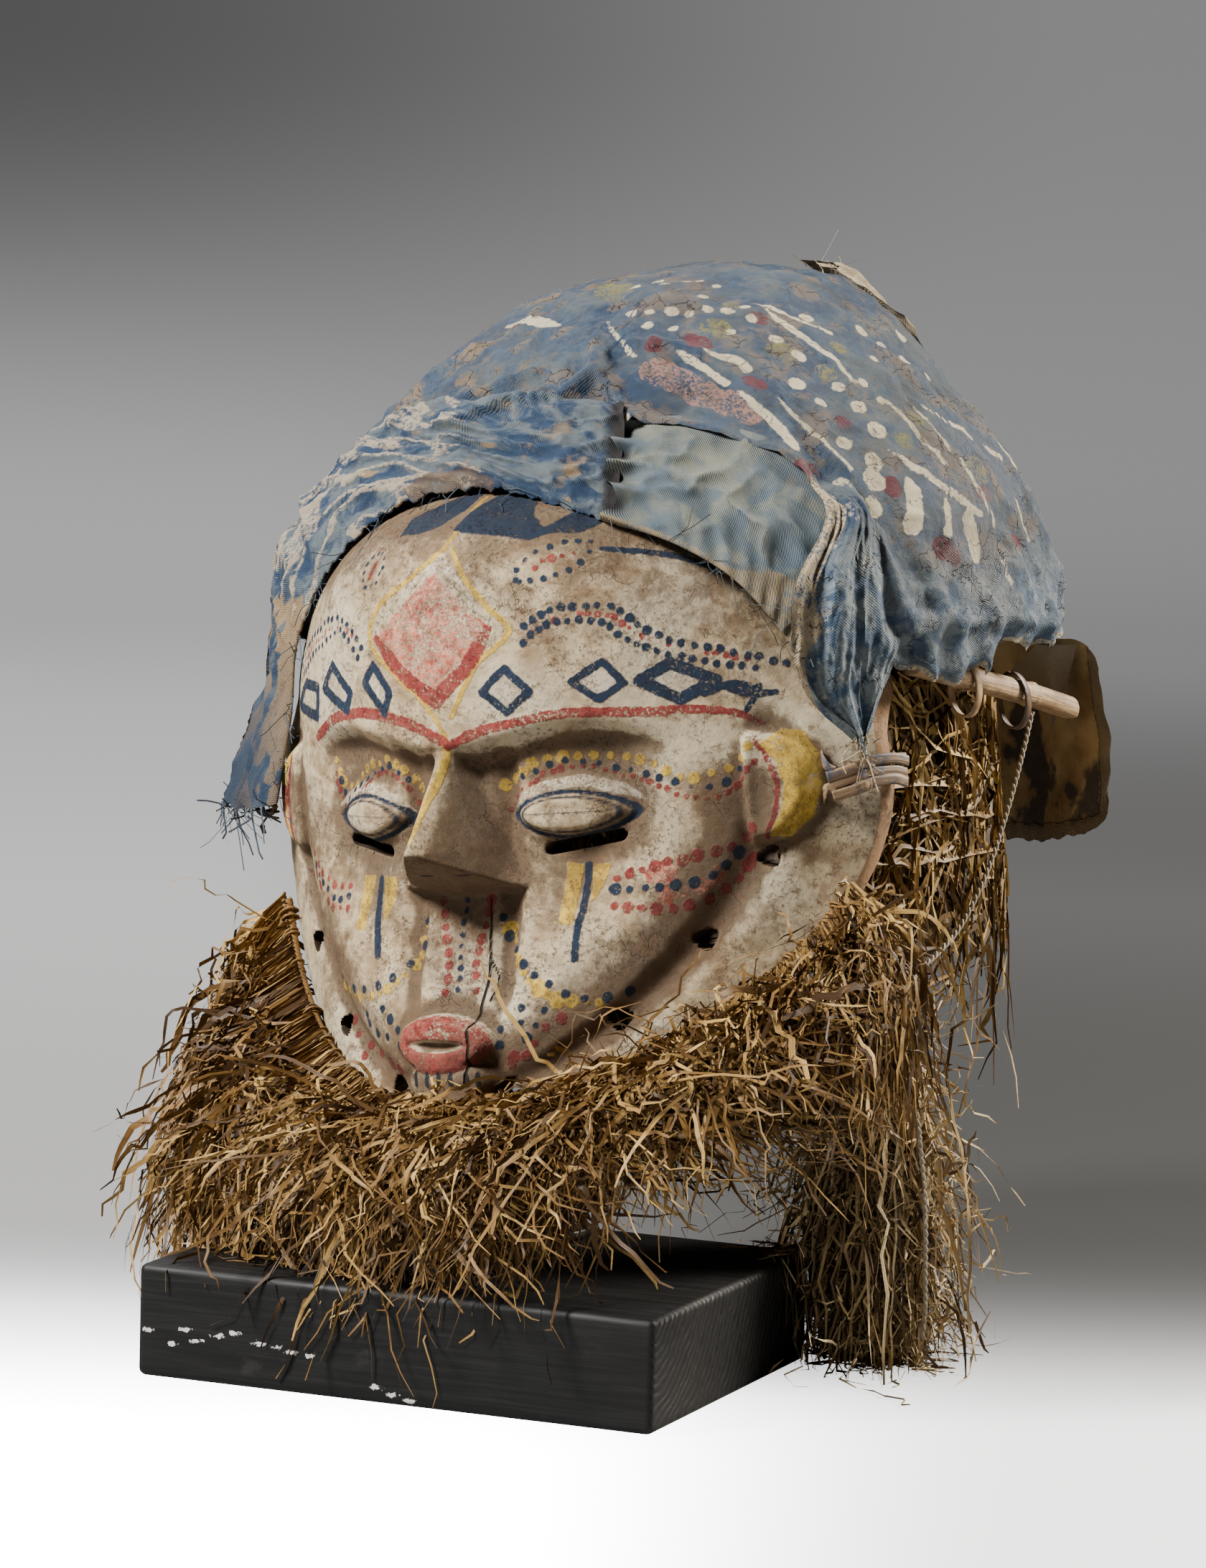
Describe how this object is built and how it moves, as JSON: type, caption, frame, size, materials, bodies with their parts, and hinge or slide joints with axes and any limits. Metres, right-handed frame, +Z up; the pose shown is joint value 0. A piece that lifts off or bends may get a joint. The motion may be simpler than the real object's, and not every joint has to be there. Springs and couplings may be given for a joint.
{
  "type": "carved wooden helmet mask with cloth coiffure and raffia beard on a block",
  "caption": "Suku initiation mask: painted carved wooden face, old painted cloth coiffure, raffia beard and curtain, on a black wooden block.",
  "frame": {"origin": "middle of the footprint, on the surface that the block stands on", "axes": "+Z up, -Y the block's long front side; the face looks to -Y and a little to -X"},
  "size_m": [0.2926, 0.353, 0.3724],
  "materials": {
    "block": "matt black paint",
    "steel": "satin black",
    "wood": "matt, worn whitish ground with painted patterns",
    "blue_cloth": "matt, stiff old paint with dots and streaks",
    "twill": "matt, faded",
    "tan_cloth": "matt, stained",
    "cane": "split cane, slight sheen",
    "raffia": "dry fibre strips",
    "cord": "two-ply fibre"
  },
  "bodies": {
    "root": {"stand_block": "block", "stand_cradle": "steel", "raffia_tuft": "raffia", "wooden_face": "wood", "cap_cloth": "blue_cloth", "brow_cloth": "blue_cloth", "temple_cloth": "twill", "temple_drape": "blue_cloth", "neck_cloth": "tan_cloth", "crown_patch": "tan_cloth", "cane_hoop": "cane", "split_cane": "cane", "cane_strap_1": "cane", "cane_strap_2": "cane", "rim_lashing": "cane", "side_knot": "cane", "raffia_beard": "raffia", "raffia_curtain": "raffia", "twisted_cord": "cord"}
  },
  "joints": []
}
